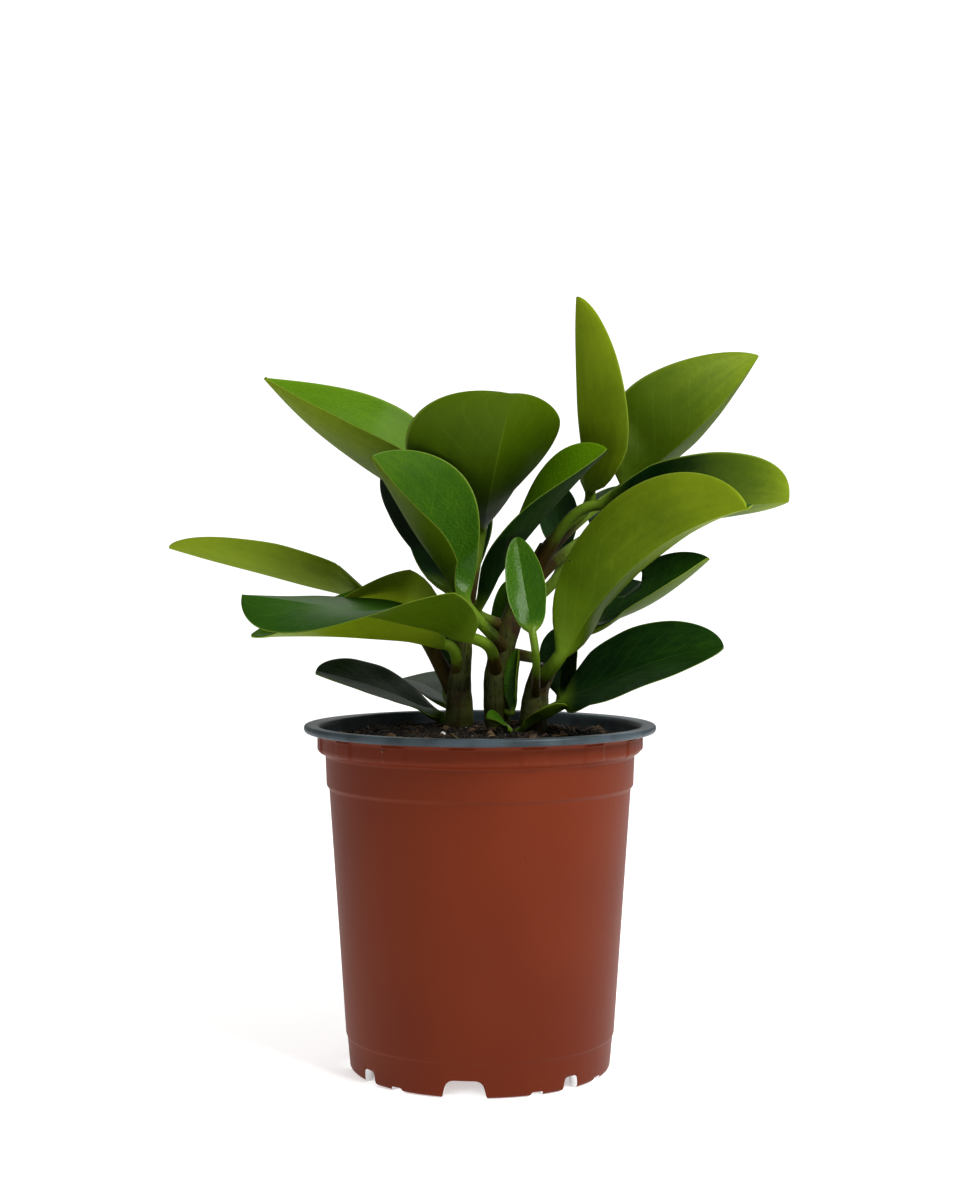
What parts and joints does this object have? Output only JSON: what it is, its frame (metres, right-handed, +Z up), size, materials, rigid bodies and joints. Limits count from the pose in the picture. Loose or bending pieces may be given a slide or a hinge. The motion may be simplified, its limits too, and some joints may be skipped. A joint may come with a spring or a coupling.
{
  "type": "potted peperomia",
  "caption": "Young bushy peperomia house plant with thick glossy green leaves on short stems, standing in a round terracotta-coloured plastic nursery pot filled with dark peat.",
  "frame": {"origin": "bottom centre of the object's box: on the floor that the pot stands on, within 1.5 mm of the pot's axis", "axes": "+Z up along the pot's axis; the front of the plant, seen in the picture, faces -Y; +X is to the viewer's right"},
  "size_m": [0.2165, 0.1484, 0.261],
  "materials": {
    "plastic": "satin terracotta brown thermoformed plastic with a dark grey inside and rim",
    "peat": null,
    "stem": null,
    "olive": null,
    "deep": null,
    "bright": null
  },
  "bodies": {
    "root": {"nursery_pot": "plastic", "peat": "peat", "stem_left": "stem", "stem_centre": "stem", "stem_right": "stem", "leaf_top_left": "olive", "leaf_round_upper": "olive", "leaf_glossy": "bright", "leaf_back_left": "deep", "leaf_tallest": "olive", "leaf_top_right": "olive", "leaf_right_upper": "olive", "leaf_right_broad": "olive", "leaf_diagonal": "deep", "leaf_young": "bright", "leaf_far_left": "olive", "leaf_front_left": "deep", "leaf_inner_left": "olive", "leaf_low_left": "deep", "leaf_low_right": "deep", "leaf_bitten": "olive", "leaf_back_right": "deep", "leaf_back_centre": "deep", "leaf_round_small": "deep", "leaf_soil_folded": "deep", "leaf_sprout": "bright", "leaf_pale_back": "olive", "leaf_inner_back": "deep", "leaf_low_back": "deep", "leaf_narrow_young": "bright", "leaf_back_upper": "olive"}
  },
  "joints": []
}
